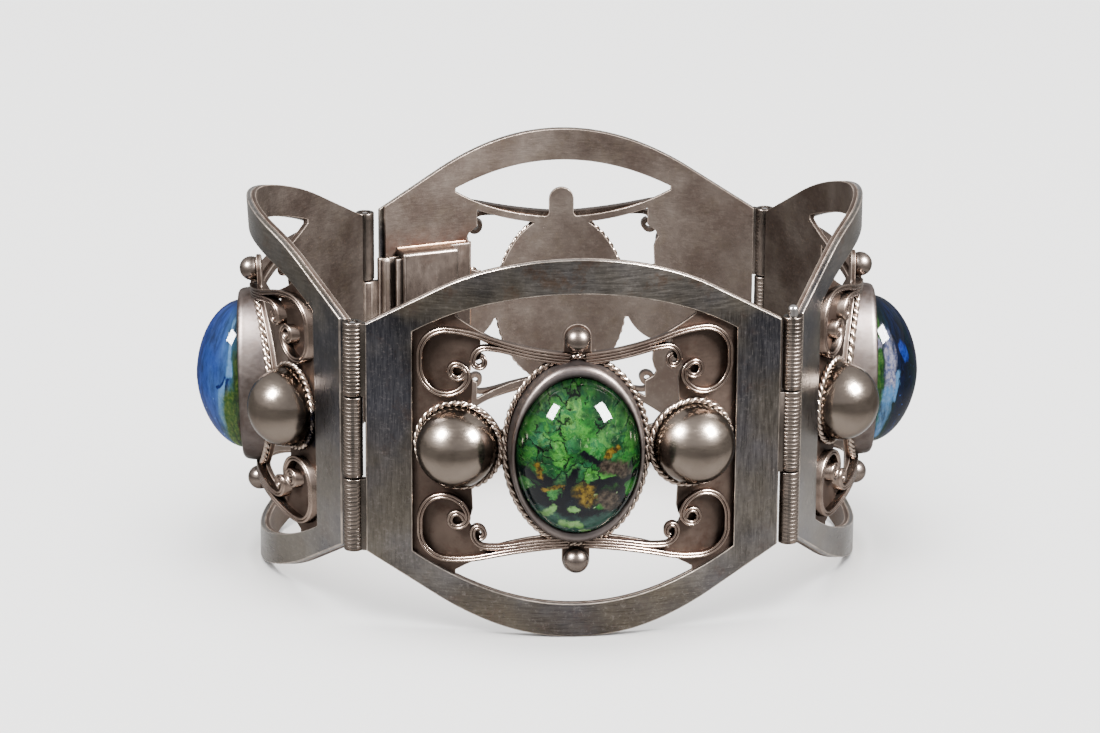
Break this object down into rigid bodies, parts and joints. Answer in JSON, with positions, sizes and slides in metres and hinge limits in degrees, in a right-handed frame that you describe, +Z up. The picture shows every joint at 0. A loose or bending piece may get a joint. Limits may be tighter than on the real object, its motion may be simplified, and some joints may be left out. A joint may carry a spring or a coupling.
{
  "type": "link bracelet",
  "caption": "Hinged link bracelet of pierced silver panels with scrolls, domes and oval glass cabochons, closed into a loop by a box clasp.",
  "frame": {"origin": "middle of the wrist hollow, halfway between opposite hinge axes, on the surface that the bracelet stands on", "axes": "+Z up along the hinge pins; -Y towards the front panel, the one with the green stone; the clasp is at -X, +Y"},
  "size_m": [0.0714, 0.0658, 0.0368],
  "materials": {
    "silver": "oxidised solid silver, worn bright on the edges",
    "pin_silver": "drawn silver wire",
    "front_glass": "green foil-backed glass with dark crackle and gold flakes",
    "right_glass": "dark blue foil-backed glass with pale streaks",
    "back_glass": null,
    "left_glass": "blue foil-backed glass with pale edge"
  },
  "bodies": {
    "front_link": {"front_panel": "silver", "front_stone": "front_glass", "front_left_pin": "pin_silver", "front_right_pin": "pin_silver"},
    "left_link": {"left_panel": "silver", "left_stone": "left_glass", "clasp_pin": "pin_silver"},
    "right_link": {"right_panel": "silver", "right_stone": "right_glass", "back_right_pin": "pin_silver"},
    "back_link": {"back_panel": "silver", "back_stone": "back_glass", "clasp_tongue": "silver"}
  },
  "joints": [
    {"name": "front_left_hinge", "type": "hinge", "parent": "front_link", "child": "left_link", "pos_m": [-0.02067, -0.02182, 0.0184], "axis": [0, 0, 1], "range_deg": [-50, 50]},
    {"name": "front_right_hinge", "type": "hinge", "parent": "front_link", "child": "right_link", "pos_m": [0.02067, -0.01958, 0.0184], "axis": [0, 0, 1], "range_deg": [-50, 50]},
    {"name": "back_right_hinge", "type": "hinge", "parent": "right_link", "child": "back_link", "pos_m": [0.02067, 0.02182, 0.0184], "axis": [0, 0, 1], "range_deg": [-50, 50]}
  ],
  "couplings": [
    {"joint": "front_right_hinge", "follows": "front_left_hinge", "ratio": 1},
    {"joint": "back_right_hinge", "follows": "front_left_hinge", "ratio": -1}
  ]
}
